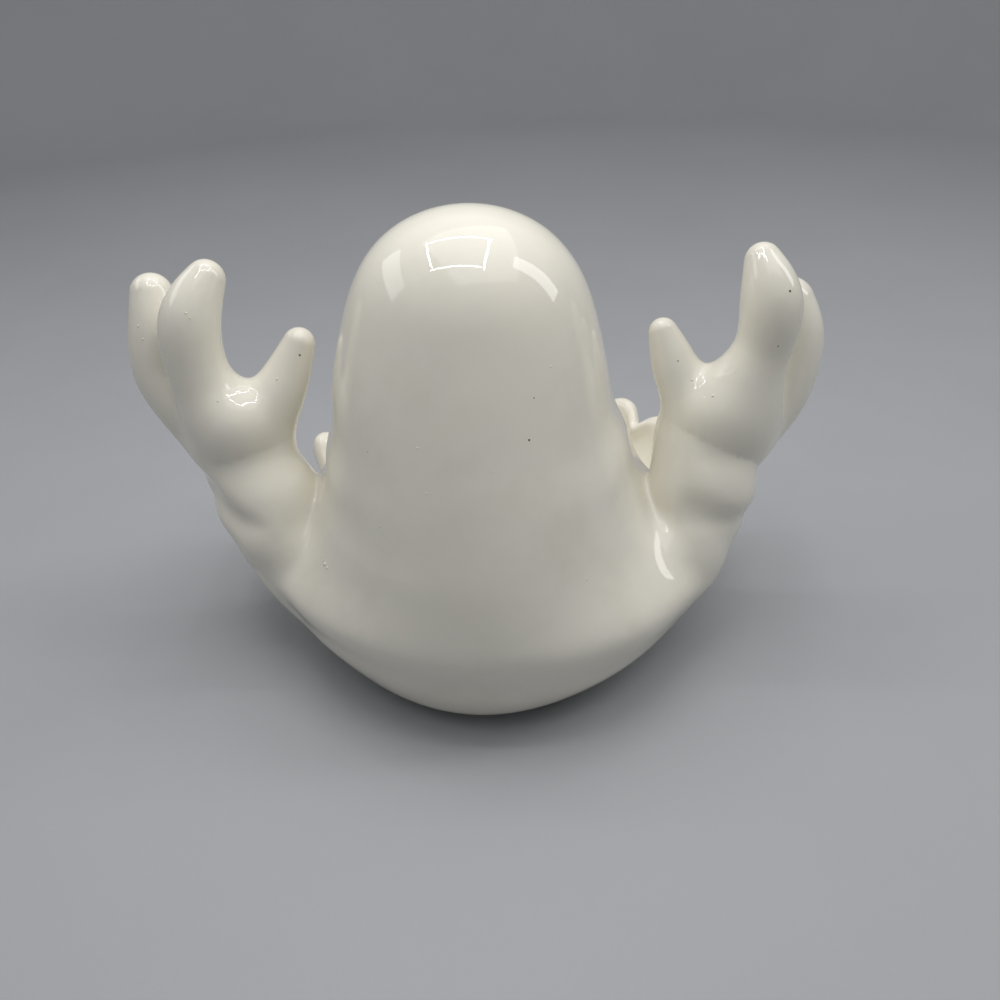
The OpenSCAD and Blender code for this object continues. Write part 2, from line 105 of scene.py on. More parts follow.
# Height of the rim between and beside the lobes
RIM_BASE = [
    (170, 30), (178, 34), (186, 52), (193, 60), (199, 56), (206, 47), (212, 46), (230, 50),
    (270, 44), (300, 42), (318, 36), (327, 32), (334, 32), (345, 36), (354, 40), (362, 32),
    (370, 30), (530, 30),
]
# Stations of the arms and fingers: place and radius, on the left side and on the right side
LEFT_LIMB = {
    "sleeve": [
        (80.9, 44, 26.9, 8.3), (95.3, 42, 47.6, 23.4), (105, 37, 61.7, 25.5),
        (110.4, 34, 76.9, 28.4), (119.8, 26, 94.2, 25), (125.8, 18, 104.3, 26.2),
        (126, 22, 117.9, 21.7), (129.9, 23, 125.3, 18.2),
    ],
    "thumb": [
        (119.8, 20, 111.9, 16.1), (108.3, 20, 126.4, 15.4), (97.3, 14, 143.1, 12),
        (89, 9, 159.3, 8.2),
    ],
    "inner": [
        (126.4, 20, 115.9, 17.2), (133.6, 23, 133.2, 16.5), (139.2, 22, 156.6, 15.2),
        (138.1, 18, 178.1, 14.8), (129.4, 10, 194.5, 9.7),
    ],
    "outer": [
        (138.3, 15, 111.7, 17.9), (155.4, 10, 128.2, 14.8), (164.7, 5, 145, 14),
        (164.3, 0, 164.9, 13.4), (164.3, -6, 181.8, 10.9),
    ],
    "palm": [
        (113.3, 25, 113.1, 14.3), (121.3, 28, 123.4, 18),
    ],
    "roll": [
        (98.8, 49, 62, 19.7), (106.7, 46, 68, 20.7),
    ],
}
RIGHT_LIMB = {
    "sleeve": [
        (85.2, 46, 32.2, 1.1), (100.7, 44, 50.7, 18.6), (107.9, 38, 65.4, 22.4),
        (114.9, 35, 80, 27.6), (117.1, 26, 97.9, 26.4), (122.1, 18, 107, 28.1),
        (127.5, 22, 119, 25.1), (131.9, 23, 127.6, 19.1),
    ],
    "thumb": [
        (115.9, 20, 109.4, 16.3), (108.8, 20, 126.1, 13.4), (100.9, 14, 144, 11.5),
        (94.6, 9, 160.1, 7.3),
    ],
    "inner": [
        (130.3, 20, 112.8, 19.7), (133.8, 25, 135.1, 18), (140.9, 24, 156.3, 14),
        (143.8, 20, 177.7, 14.8), (139.4, 12, 196.3, 8.8),
    ],
    "outer": [
        (136.4, 15, 105.8, 16.7), (153.7, 7, 117.8, 15.2), (162.4, 1, 134.8, 14.4),
        (164.5, -4, 154.2, 13.3), (159.4, -9, 166.2, 13.8),
    ],
    "palm": [
        (112, 25, 109.9, 14.9), (120.9, 28, 121.3, 17.5),
    ],
    "roll": [
        (98, 51, 58.4, 20.1), (106.6, 48, 60.8, 21.7),
    ],
}
# How softly each part of an arm runs into the ones before it
LIMB_BLENDS = {"roll": 8.0, "inner": 15.0, "outer": 12.0, "palm": 18.0, "thumb": 12.0}
# How softly the arms run into the body at a height
CREASE_HEIGHTS = [0, 25, 50, 68, 92, 130]
CREASE_VALUES = [26, 24, 17, 9, 6, 8]
# Folds round the sleeves, left and right: height at FOLD_X, slope, depth and width. They begin
# at FOLD_START.
FOLD_X, FOLD_START = 115.0, 94.0
SLEEVE_FOLDS = {
    1: [(80.0, 0.56, 3.6, 7.5), (58.0, 0.50, 2.8, 7.0)],
    -1: [(83.0, -0.40, 2.8, 8.0), (53.5, -0.40, 2.8, 7.0)],
}
# Dark pinholes and raised pimples of the glaze: place and radius
PINHOLES = [
    (87.3, 18.0, 156.8, 0.55), (-148.9, 30.2, 187.8, 0.60), (-26.7, 95.5, 148.8, 0.50),
    (-100.7, 23.3, 150.7, 0.35), (-144.8, 36.9, 163.4, 0.35),
]
PIMPLES = [
    (75.1, 84.6, 76.0, 1.10), (73.2, 87.2, 75.6, 0.80), (76.6, 83.0, 77.2, 0.60),
    (135.0, 30.1, 185.3, 0.60), (133.3, 30.9, 183.1, 0.50), (168.1, 11.2, 171.8, 0.60),
    (166.2, 13.4, 165.7, 0.55), (98.7, 25.5, 147.5, 0.65), (125.9, 38.7, 142.7, 0.60),
    (-116.1, 39.2, 139.1, 0.70), (-107.3, 28.3, 142.6, 0.60), (21.2, 99.3, 148.2, 0.45),
]
# Air hole through the foot and the bowl's floor: radius and place behind the axis
HOLE_RADIUS = 5.0
HOLE_Y = 42.0
# Noises that every finish is made of: usual scale, detail and roughness
DRIFTS = {"Cloud": (14.0, 4.0, 0.62), "Grain": (420.0, 2.0, 0.5), "Swell": (55.0, 1.0, 0.4)}
# The photograph's view: place, and the turns of heading, tilt and roll
VIEW_PLACE = (-28.04, 452.2, 350.0)
VIEW_TURNS = (("Z", 182.4), ("X", 57.0), ("Z", -2.5))
# Box that the surface is drawn in, and how many levels of it are worked out at once
DRAW_LOW = (-190.0, -146.0, -2.0)
DRAW_HIGH = (196.0, 148.0, 238.0)
DRAW_LEVELS = 8
# Face: half width, half height, place across and height of each pool of black glaze
FACE_OVALS = {
    "left_eye": (10.0, 15.0, 23.0, 180.0),
    "right_eye": (10.0, 15.0, -23.0, 180.0),
    "mouth": (13.0, 16.0, 0.0, 146.0),
}


# Smooth fields


def cubic_through(knots, values, at):
    """Natural cubic curve through knots, read at the places in at; flat beyond the ends."""
    n = len(knots)
    gap = np.diff(knots)
    rows = np.eye(n)
    right = np.zeros(n)
    for i in range(1, n - 1):
        rows[i, i - 1 : i + 2] = gap[i - 1], 2 * (gap[i - 1] + gap[i]), gap[i]
        right[i] = 6 * (
            (values[i + 1] - values[i]) / gap[i] - (values[i] - values[i - 1]) / gap[i - 1]
        )
    bend = np.linalg.solve(rows, right)
    at = np.clip(at, knots[0], knots[-1])
    i = np.clip(np.searchsorted(knots, at) - 1, 0, n - 2)
    a, b = knots[i + 1] - at, at - knots[i]
    return (
        (bend[i] * a**3 + bend[i + 1] * b**3) / (6 * gap[i])
        + (values[i] / gap[i] - bend[i] * gap[i] / 6) * a
        + (values[i + 1] / gap[i] - bend[i + 1] * gap[i] / 6) * b
    )


class Curve:
    """Smooth curve through (place, value) pairs, kept as a fine table and softened a little."""

    STEP = 0.25

    def __init__(self, places, values, soften=0.0):
        places = np.asarray(places, float)
        values = np.asarray(values, float)
        self.at = np.arange(places[0], places[-1] + self.STEP, self.STEP)
        table = cubic_through(places, values, self.at)
        self.table = rolling_mean(table, soften / self.STEP) if soften else table

    def __call__(self, at):
        return np.interp(at, self.at, self.table)

    def slope(self, at):
        return self(at + 0.5) - self(at - 0.5)


def rolling_mean(table, spread):
    """The table softened by a bell curve that is spread over so many entries."""
    reach = int(3 * spread)
    bell = np.exp(-0.5 * (np.arange(-reach, reach + 1) / spread) ** 2)
    return np.convolve(np.pad(table, reach, mode="edge"), bell / bell.sum(), "valid")


def soft_min(a, b, k):
    """The lower of two fields, with a fillet of about k where they meet."""
    h = np.maximum(k - np.abs(a - b), 0.0) / k
    return np.minimum(a, b) - h**3 * k / 6.0


def soft_max(a, b, k):
    return -soft_min(-a, -b, k)


def ease(u):
    """Smooth step from 0 to 1 whose bend is smooth too."""
    u = np.clip(u, 0.0, 1.0)
    return u * u * u * (u * (6.0 * u - 15.0) + 10.0)


class Limb:
    """Round limb along a smooth path through (x, y, z, radius) stations: the skin round a row
    of balls that stand close together on the path."""

    REACH = 26.0
    BALLS = 161
    STRIDE = 5

    def __init__(self, stations, side):
        rows = np.array(stations, float)
        rows[:, 0] *= side
        gaps = np.linalg.norm(np.diff(rows[:, :3], axis=0), axis=1)
        run = np.concatenate([[0], np.cumsum(gaps)])
        at = np.linspace(0, run[-1], self.BALLS)
        self.path = [cubic_through(run, rows[:, i], at) for i in range(4)]
        radius = self.path[3].max() + self.REACH
        self.low = [p.min() - radius for p in self.path[:3]]
        self.high = [p.max() + radius for p in self.path[:3]]

    def field(self, x, y, z):
        out = np.full(x.shape, FAR)
        near = np.ones(x.shape, bool)
        for value, low, high in zip((x, y, z), self.low, self.high):
            near &= (value > low) & (value < high)
        if not near.any():
            return out
        place = [x[near], y[near], z[near]]

        def to_ball(k):
            gap = np.sqrt(sum((p - q[k]) ** 2 for p, q in zip(place, self.path)))
            return gap - self.path[3][k]

        best = np.full(place[0].shape, np.inf)
        at = np.zeros(best.shape, int)
        for k in range(0, self.BALLS, self.STRIDE):
            gap = to_ball(k)
            closer = gap < best
            best[closer] = gap[closer]
            at[closer] = k
        for step in range(1 - self.STRIDE, self.STRIDE):
            best = np.minimum(best, to_ball(np.clip(at + step, 0, self.BALLS - 1)))
        out[near] = best
        return out


class Figure:
    """Fields of the castings. A field is the distance to a surface, negative inside it."""

    def __init__(self, shape):
        rows = np.array(CLOAK_ROWS, float).T
        self.half, self.mid, self.back, self.front = (Curve(rows[0], r, 3.0) for r in rows[1:])
        rows = np.array(BELLY_ROWS, float).T
        self.belly_half, self.belly_front = (Curve(rows[0], r, 4.0) for r in rows[1:])
        rows = np.array(DISH_ROWS, float).T
        self.dish_side = Curve(rows[0], rows[1], 1.5)
        self.wall = shape.dish_wall / MM
        self.lip = shape.rim_lip / MM
        self.flute = shape.rim_flute / MM
        self.fillet = shape.dish_fillet / MM
        self.fold = shape.belly_fold / MM
        self.socket = shape.eye_depth / MM
        self.crease = Curve(CREASE_HEIGHTS, CREASE_VALUES, 4.0)
        self.shift = Curve(SHIFT_HEIGHTS, SHIFT_VALUES, 4.0)
        self.skew = Curve(SKEW_HEIGHTS, SKEW_VALUES, 4.0)
        self.limbs = {}
        for side, table in ((1, LEFT_LIMB), (-1, RIGHT_LIMB)):
            self.limbs[side] = {name: Limb(rows, side) for name, rows in table.items()}
        self.trace_rim()

    def trace_rim(self):
        """Tables of the rim's height and of its waves against the angle."""
        angle = np.arange(170, 530.25, 0.25)
        top = Curve(*np.array(RIM_BASE, float).T, 1.2)(angle)
        crown = 9.0
        for at, height, before, after in RIM_LOBES:
            off = angle - at
            fall = np.where(off < 0, before, after) * off * off
            drop = np.sqrt(1 + (fall / crown) ** 2) * crown - crown + fall * 0.55
            top = soft_max(top, height - drop, 6.0)
        self.rim_angle = angle
        self.rim_top = rolling_mean(top, 4.0)
        self.rim_wave = np.clip((top - rolling_mean(top, 24.0)) / 4.0, -1.5, 1.5)

    def oval_column(self, x, y, z, half, mid, back, front, top, dome):
        """Upright solid of oval rows that closes in a dome."""

        def size(z):
            a = half(z)
            u = y - mid(z)
            depth = front(z) + (back(z) - front(z)) * ease(0.5 + u / 36.0)
            k = a / depth
            q = np.sqrt(x * x + (u * k) ** 2) / a
            w = np.maximum((z - top + dome) / dome, 0.0)
            return np.sqrt(q * q + w**4) + 1e-6, a, u * k * k

        s, a, side_y = size(z)
        up = size(z + 0.5)[0] - s
        flat = np.sqrt(x * x + side_y**2) / (a * a * s)
        steep = np.sqrt(flat**2 + (up / 0.5) ** 2)
        return (s - 1.0) / np.maximum(steep, 0.75 / a)

    def dish(self, x, y, z):
        """Wall of the dish with its ruffled lip, and the dish's floor."""
        angle = np.degrees(np.arctan2(y, x)) % 360.0
        angle = np.where(angle < 170.0, angle + 360.0, angle)
        top = np.interp(angle, self.rim_angle, self.rim_top)
        wave = np.interp(angle, self.rim_angle, self.rim_wave)
        # Behind the arms the dish's wall keeps inside the sheet
        rho = np.sqrt(x * x + (y / 1.0076) ** 2) + 9.0 * ease((y - 12.0) / 45.0)
        lean = self.flute * wave * np.clip(z / 58.0, 0.0, 1.1) ** 3
        slope = self.dish_side.slope(z)
        middle = (rho - self.dish_side(z) - lean) / np.sqrt(1 + slope * slope) + self.wall / 2
        thick = self.wall / 2 + (self.lip - self.wall) / 2 * ease((z - top + 16.0) / 14.0)
        over = np.maximum(z - top + self.lip / 2, 0.0)
        wall = np.sqrt(middle * middle + over * over) - thick
        slab = np.abs(z - (UNDER_Z + FLOOR_Z) / 2) - (FLOOR_Z - UNDER_Z) / 2
        return soft_min(wall, soft_max(slab, rho - FLOOR_RADIUS, 3.0), self.fillet)

    def arm(self, side, x, y, z):
        """Sleeve with its folds, and the hand on it."""
        limb = self.limbs[side]
        skin = limb["sleeve"].field(x, y, z)
        for height, lean, depth, wide in SLEEVE_FOLDS[side]:
            off = (z - height - lean * (x * side - FOLD_X)) / wide
            skin = skin + depth * np.exp(-off * off) * ease((x * side - FOLD_START) / 20.0)
        for name, blend in LIMB_BLENDS.items():
            skin = soft_min(skin, limb[name].field(x, y, z), blend)
        return skin

    def fields(self, p):
        """Field of the whole figure, and the fields that say which casting a point is on."""
        x, y, z = p[:, 0], p[:, 1], p[:, 2]
        xs = x - self.shift(z) - self.skew(z) * np.clip(y / 120.0, 0.0, 1.3)
        xb = x - self.shift(np.maximum(z, 60.0))
        cloak = self.oval_column(
            xs, y, z, self.half, self.mid, self.back, self.front, BODY_TOP, BODY_DOME
        )
        half, front = self.belly_half, self.belly_front
        middle, back = (lambda z: 0.0), (lambda z: BELLY_BACK)
        belly = self.oval_column(
            xb, y, z, half, middle, back, front, BELLY_TOP, BELLY_DOME
        )
        dish = self.dish(x, y, z)
        fillet = self.fillet * (1.0 + 0.7 * ease((y - 20.0) / 50.0))
        whole = soft_min(soft_min(cloak, belly, self.fold), dish, fillet)
        arms = np.full(x.shape, FAR)
        for side in (1, -1):
            on = x * side > 30.0
            if on.any():
                arms[on] = self.arm(side, x[on], y[on], z[on])
        hull = whole
        # The right sleeve runs into the sheet more softly
        crease = self.crease(z) + np.where(x < 0, 10.0 * ease((86.0 - z) / 24.0), 0.0)
        whole = soft_min(whole, arms, crease)
        whole = soft_max(whole, UNDER_Z - z, 3.0)
        hole = np.maximum(np.hypot(x, y - HOLE_Y) - HOLE_RADIUS, z - 24.0)
        whole = soft_max(whole, -hole, 1.5)
        whole = self.sink_face(whole, xs, y, z)
        body = np.minimum(belly, np.maximum(cloak, SEAM_Z - z))
        bowl = np.minimum(dish, np.maximum(cloak, z - SEAM_Z))
        return whole, arms - hull, bowl - body

    def sink_face(self, whole, x, y, z):
        """Shallow hollows for the eyes and the mouth."""
        for wide, tall, at_x, at_z in FACE_OVALS.values():
            on = (np.abs(x - at_x) < wide + 9) & (np.abs(z - at_z) < tall + 9) & (y < 0)
            if not on.any():
                continue
            u, w = (x[on] - at_x) / wide, (z[on] - at_z) / tall
            r = np.sqrt(u * u + w * w)
            dent = self.socket * (1.0 - ease((r - 0.35) / 0.72))
            whole[on] = whole[on] + dent
        return whole

    def value(self, p):
        return self.fields(p)[0]

    def gradient(self, p):
        out = np.empty_like(p)
        for i, off in enumerate(np.eye(3) * PROBE):
            out[:, i] = (self.value(p + off) - self.value(p - off)) / (2 * PROBE)
        return out

    def settle(self, p, rounds):
        """Moves points onto the surface."""
        for _ in range(rounds):
            g = self.gradient(p)
            p = p - g * (self.value(p) / np.maximum((g * g).sum(1), 0.05))[:, None]
        return p

    def normals(self, p):
        g = self.gradient(p)
        return g / np.linalg.norm(g, axis=1)[:, None]


# Meshes from fields


def surface_net(value, low, step):
    """Points and outward quads of the surface where a field on a grid changes sign."""
    inside = value < 0
    size = np.array(value.shape) - 1
    corners = [(i, j, k) for i in (0, 1) for j in (0, 1) for k in (0, 1)]

    def shifted(a, c):
        return a[c[0] : c[0] + size[0], c[1] : c[1] + size[1], c[2] : c[2] + size[2]]

    count = sum(shifted(inside, c).astype(np.int8) for c in corners)
    active = (count > 0) & (count < 8)
    number = np.full(active.shape, -1, np.int64)
    cells = np.argwhere(active)
    number[active] = np.arange(len(cells))
    total = np.zeros((len(cells), 3))
    hits = np.zeros(len(cells))
    for a in corners:
        for axis in range(3):
            if a[axis]:
                continue
            b = list(a)
            b[axis] = 1
            va = value[tuple((cells + a).T)]
            vb = value[tuple((cells + b).T)]
            cross = (va < 0) != (vb < 0)
            share = va[cross] / (va[cross] - vb[cross])
            total[cross] += np.array(a) + share[:, None] * (np.array(b) - a)
            hits[cross] += 1
    points = low + step * (cells + total / hits[:, None])
    quads = []
    for axis in range(3):
        b, c = (axis + 1) % 3, (axis + 2) % 3
        here = [slice(1, -1)] * 3
        here[axis] = slice(0, -1)
        there = list(here)
        there[axis] = slice(1, None)
        first, second = inside[tuple(here)], inside[tuple(there)]
        for outward in (True, False):
            change = (first & ~second) if outward else (~first & second)
            node = np.argwhere(change)
            node[:, b] += 1
            node[:, c] += 1
            ring = []
            for db, dc in ((1, 1), (0, 1), (0, 0), (1, 0)):
                cell = node.copy()
                cell[:, b] -= db
                cell[:, c] -= dc
                ring.append(number[tuple(cell.T)])
            quad = np.stack(ring, 1)
            quads.append(quad if outward else quad[:, ::-1])
    return points, np.concatenate(quads)


def sides_of(faces):
    """The two ends of each side of the triangles, in the triangles' direction."""
    return np.concatenate([faces[:, [0, 1]], faces[:, [1, 2]], faces[:, [2, 0]]])


def halve_quads(points, quads):
    """Triangles of the quads, parted along the shorter diagonal."""
    p = points[quads]
    short = np.linalg.norm(p[:, 0] - p[:, 2], axis=1) <= np.linalg.norm(p[:, 1] - p[:, 3], axis=1)
    a, b = quads[short], quads[~short]
    return np.concatenate([a[:, [0, 1, 2]], a[:, [0, 2, 3]], b[:, [0, 1, 3]], b[:, [1, 2, 3]]])


def even_out(figure, points, quads, rounds):
    """Slides the points along the surface until the faces are even."""
    ends = np.concatenate([quads[:, [i, (i + 1) % 4]] for i in range(4)])
    ends = np.unique(np.sort(ends, 1), axis=0)
    a, b = ends.T
    n = len(points)
    degree = np.bincount(a, minlength=n) + np.bincount(b, minlength=n)
    for _ in range(rounds):
        mean = np.stack(
            [
                np.bincount(a, points[b, i], n) + np.bincount(b, points[a, i], n)
                for i in range(3)
            ],
            1,
        )
        move = mean / degree[:, None] - points
        normal = figure.normals(points)
        move -= normal * (move * normal).sum(1)[:, None]
        points = figure.settle(points + 0.6 * move, 1)
    return points


def part_mesh(points, faces, value):
    """Cuts the triangles along value = 0. Returns the points, the triangles and whether each
    triangle lies where value is negative."""
    value = np.where(np.abs(value) < LEAST_CUT, np.copysign(LEAST_CUT, value), value)
    low = value < 0
    count = low[faces].sum(1)
    whole = (count == 0) | (count == 3)
    split = faces[~whole]
    lone_low = low[split].sum(1) == 1
    lone = np.argmax(low[split] == lone_low[:, None], axis=1)
    turn = (lone[:, None] + np.arange(3)) % 3
    a, b, c = np.take_along_axis(split, turn, 1).T
    edges = np.sort(np.concatenate([np.stack([a, b], 1), np.stack([a, c], 1)]), 1)
    unique, where = np.unique(edges, axis=0, return_inverse=True)
    where = where.reshape(-1)
    u, v = unique.T
    share = value[u] / (value[u] - value[v])
    fresh = points[u] + share[:, None] * (points[v] - points[u])
    ab = len(points) + where[: len(a)]
    ac = len(points) + where[len(a) :]
    tips = np.stack([a, ab, ac], 1)
    rest = np.concatenate([np.stack([ab, b, c], 1), np.stack([ab, c, ac], 1)])
    side = np.concatenate([count[whole] == 3, lone_low, ~lone_low, ~lone_low])
    return np.concatenate([points, fresh]), np.concatenate([faces[whole], tips, rest]), side


def main_parts(faces, number):
    """True for the faces that belong to the given number of largest connected parts."""
    used, corner = np.unique(faces, return_inverse=True)
    corner = corner.reshape(-1, 3)
    label = np.arange(len(used))
    while True:
        least = label[corner].min(1)
        new = label.copy()
        for i in range(3):
            np.minimum.at(new, corner[:, i], least)
        new = new[new]
        if (new == label).all():
            break
        label = new
    part = label[corner[:, 0]]
    size = np.bincount(part, minlength=len(used))
    return np.isin(part, np.argsort(size)[::-1][:number])


def close_loops(points, normals, faces):
    """Fills every hole of a triangle mesh with a fan about the middle of its edge."""
    directed = sides_of(faces)
    n = len(points)
    key = directed[:, 0] * n + directed[:, 1]
    back = directed[:, 1] * n + directed[:, 0]
    open_edges = directed[~np.isin(back, key)]
    after = {}
    for start, end in open_edges.tolist():
        after.setdefault(start, []).append(end)
    caps = []
    middles = []
    for start in after:
        while after[start]:
            trail = [start]
            while after[trail[-1]]:
                end = after[trail[-1]].pop()
                if end not in trail:
                    trail.append(end)
                    continue
                loop = trail[trail.index(end) :]
                trail = trail[: trail.index(end) + 1]
                middle = n + len(middles)
                middles.append(points[loop].mean(0))
                caps += [(b, a, middle) for a, b in zip(loop, loop[1:] + loop[:1])]
    if not caps:
        return points, normals, faces
    middles = np.array(middles)
    away = np.tile([0.0, 0.0, 1.0], (len(middles), 1))
    return (
        np.concatenate([points, middles]),
        np.concatenate([normals, away]),
        np.concatenate([faces, np.array(caps)]),
    )


def compass(sides):
    """Even directions round a circle."""
    turns = (2 * math.pi * j / sides for j in range(sides))
    return [(math.cos(a), math.sin(a)) for a in turns]


def make_piece(name, points, faces, normals=None, material=None, values=None):
    """Mesh object in metres with smooth faces and, where given, its own normals, and with
    numbers or directions kept at its points."""
    mesh = bpy.data.meshes.new(name)
    mesh.from_pydata((np.asarray(points) * MM).tolist(), [], [list(map(int, f)) for f in faces])
    mesh.polygons.foreach_set("use_smooth", np.ones(len(mesh.polygons), bool))
    if normals is not None:
        mesh.normals_split_custom_set_from_vertices(np.asarray(normals).tolist())
    for key, data in (values or {}).items():
        kind, slot = ("FLOAT", "value") if data.ndim == 1 else ("FLOAT_VECTOR", "vector")
        layer = mesh.attributes.new(key, kind, "POINT")
        layer.data.foreach_set(slot, data.astype(np.float32).ravel())
    mesh.update()
    if material is not None:
        mesh.materials.append(material)
    piece = bpy.data.objects.new(name, mesh)
    bpy.context.scene.collection.objects.link(piece)
    return piece


# Finishes


def new_group(name, kind, inputs, outputs):
    """Empty node group with named sockets, and the nodes at its two ends."""
    tree = bpy.data.node_groups.new(name, kind + "NodeTree")
    for way, sockets in (("INPUT", inputs), ("OUTPUT", outputs)):
        for key, default in sockets.items():
            shape = "NodeSocketGeometry" if key == "Geometry" else "NodeSocketFloat"
            socket = tree.interface.new_socket(key, in_out=way, socket_type=shape)
            if default is not None:
                socket.default_value = default
    return tree, tree.nodes.new("NodeGroupInput"), tree.nodes.new("NodeGroupOutput")


def add(tree, kind, settings=None, **links):
    """Adds a node. Each further name is an input socket, or i and its number, with a value or
    another node's output."""
    node = tree.nodes.new(kind)
    for key, value in (settings or {}).items():
        setattr(node, key, value)
    for key, value in links.items():
        counted = key[0] == "i" and key[1:].isdigit()
        socket = node.inputs[int(key[1:]) if counted else key]
        if isinstance(value, bpy.types.NodeSocket):
            tree.links.new(value, socket)
        else:
            socket.default_value = value
    return node


def drift_group():
    """Slow clouds, fine grain and a gentle swell, as masks and a height."""
    if "glaze_drift" in bpy.data.node_groups:
        return bpy.data.node_groups["glaze_drift"]
    scales = {key + " Scale": scale for key, (scale, _, _) in DRIFTS.items()}
    tree, source, sink = new_group("glaze_drift", "Shader", scales, dict.fromkeys(DRIFTS))
    place = tree.nodes.new("ShaderNodeTexCoord").outputs["Object"]
    for key, (_, detail, rough) in DRIFTS.items():
        noise = add(tree, "ShaderNodeTexNoise", Vector=place, Detail=detail, Roughness=rough)
        tree.links.new(source.outputs[key + " Scale"], noise.inputs["Scale"])
        tree.links.new(noise.outputs["Fac"], sink.inputs[key])
    return tree


def ramp(tree, value, stops):
    """Colour ramp through (place, colour) stops."""
    node = add(tree, "ShaderNodeValToRGB", i0=value)
    elements = node.color_ramp.elements
    while len(elements) < len(stops):
        elements.new(0.5)
    for element, (place, colour) in zip(elements, stops):
        element.position = place
        element.color = (*colour, 1.0)
    return node.outputs["Color"]


def shade(colour, factors):
    return tuple(min(1.0, c * k) for c, k in zip(colour, factors))


def new_material(name, scales):
    """Material with its shader and a drift group of the given cloud, grain and swell scales."""
    material = bpy.data.materials.new(name)
    material.use_nodes = True
    tree = material.node_tree
    tree.nodes.clear()
    shader = tree.nodes.new("ShaderNodeBsdfPrincipled")
    sink = tree.nodes.new("ShaderNodeOutputMaterial")
    tree.links.new(shader.outputs[0], sink.inputs["Surface"])
    drift = tree.nodes.new("ShaderNodeGroup")
    drift.node_tree = drift_group()
    for key, scale in zip(DRIFTS, scales):
        drift.inputs[key + " Scale"].default_value = scale
    return material, tree, shader, drift.outputs


def link_finish(tree, shader, base, rough, height, strength, distance):
    """Links a colour, a roughness and the height of a bump to the shader."""
    tree.links.new(base, shader.inputs["Base Color"])
    tree.links.new(rough, shader.inputs["Roughness"])
    bump = add(tree, "ShaderNodeBump", Strength=strength, Distance=distance, Height=height)
    tree.links.new(bump.outputs[0], shader.inputs["Normal"])


def between(tree, value, low, high, start=0.0, end=1.0):
    """Maps a mask from start..end to low..high."""
    return add(
        tree, "ShaderNodeMapRange", i0=value, i1=start, i2=end, i3=low, i4=high
    ).outputs[0]


def raised(tree, value, factor, ground):
    """Height of a mask times a factor, on top of another height."""
    return add(
        tree, "ShaderNodeMath", {"operation": "MULTIPLY_ADD"}, i0=value, i1=factor, i2=ground
    ).outputs[0]


def mixed(tree, share, first, second, mode="MIX"):
    """Mixes a linked colour with another, linked or plain, by a linked or plain share."""
    if not isinstance(second, bpy.types.NodeSocket):
        second = (*second, 1.0)
    settings = {"data_type": "RGBA", "blend_type": mode}
    return add(tree, "ShaderNodeMix", settings, i0=share, i6=first, i7=second).outputs[2]


def white_glaze(look):
    """Glossy warm white glaze: cloudy, thinner and warmer on edges, darkened in creases by painted
    shade.
    """
    if "cloudy_white_glaze" in bpy.data.materials:
        return bpy.data.materials["cloudy_white_glaze"]
    material, tree, shader, drift = new_material("cloudy_white_glaze", (17.0, 900.0, 60.0))
    white = tuple(look.white)
    stops = [(0.34, (0.945, 0.94, 0.925)), (0.52, (1.0, 1.0, 1.0)), (0.66, (1.02, 1.012, 1.0))]
    base = ramp(tree, drift["Cloud"], [(at, shade(white, factors)) for at, factors in stops])
    bend = add(tree, "ShaderNodeAttribute", {"attribute_name": "bend"}).outputs["Fac"]
    base = mixed(tree, between(tree, bend, 0.0, 0.55, 0.25, 1.0), base, tuple(look.thin))
    # Painted shade: a darker white is mixed in where the surface bends into a crease
    pool = between(tree, bend, 0.0, 0.35, -0.2, -1.0)
    base = mixed(tree, pool, base, shade(white, (0.9, 0.9, 0.9)))
    rough = between(tree, drift["Grain"], look.gloss * 0.7, look.gloss * 1.5)
    height = raised(tree, drift["Grain"], 0.006, drift["Swell"])
    link_finish(tree, shader, base, rough, height, 0.4, 0.0003)
    shader.inputs["IOR"].default_value = 1.52
    return material


def black_glaze(look):
    """Deep black glaze that pools in the hollows of the face."""
    material, tree, shader, drift = new_material("pooled_black_glaze", (60.0, 700.0, 90.0))
    black = tuple(look.black)
    stops = [(0.3, black), (0.7, tuple(c * 1.9 + 0.004 for c in black))]
    rough = between(tree, drift["Grain"], 0.05, 0.12)
    base = ramp(tree, drift["Cloud"], stops)
    link_finish(tree, shader, base, rough, drift["Swell"], 0.4, 0.0004)
    return material


def bare_clay(look):
    """Dry, wiped clay of the foot, with turning rings and fine grog."""
    material, tree, shader, drift = new_material("wiped_clay", (40.0, 1500.0, 160.0))
    clay = tuple(look.clay)
    stops = [(0.3, shade(clay, [0.86] * 3)), (0.55, clay), (0.75, shade(clay, [1.05] * 3))]
    grog = ramp(tree, drift["Grain"], [(0.36, (0.55, 0.5, 0.45)), (0.44, (1, 1, 1))])
    base = mixed(tree, 1.0, ramp(tree, drift["Cloud"], stops), grog, "MULTIPLY")
    rings = add(
        tree,
        "ShaderNodeTexWave",
        {"wave_type": "RINGS", "rings_direction": "Z"},
        Vector=tree.nodes.new("ShaderNodeTexCoord").outputs["Object"],
        Scale=120.0,
        Distortion=0.6,
        Detail=1.0,
    )
    height = raised(tree, rings.outputs["Fac"], 0.35, drift["Grain"])
    rough = between(tree, drift["Swell"], 0.75, 0.95)
    link_finish(tree, shader, base, rough, height, 0.6, 0.0003)
    return material


def iron_speck():
    """Brown-black iron specks in the glaze."""
    material, tree, shader, drift = new_material("iron_speck", (900.0, 3000.0, 1500.0))
    base = ramp(tree, drift["Cloud"], [(0.35, (0.03, 0.02, 0.015)), (0.65, (0.12, 0.08, 0.05))])
    rough = between(tree, drift["Grain"], 0.3, 0.6)
    link_finish(tree, shader, base, rough, drift["Swell"], 0.5, 0.0001)
    return material


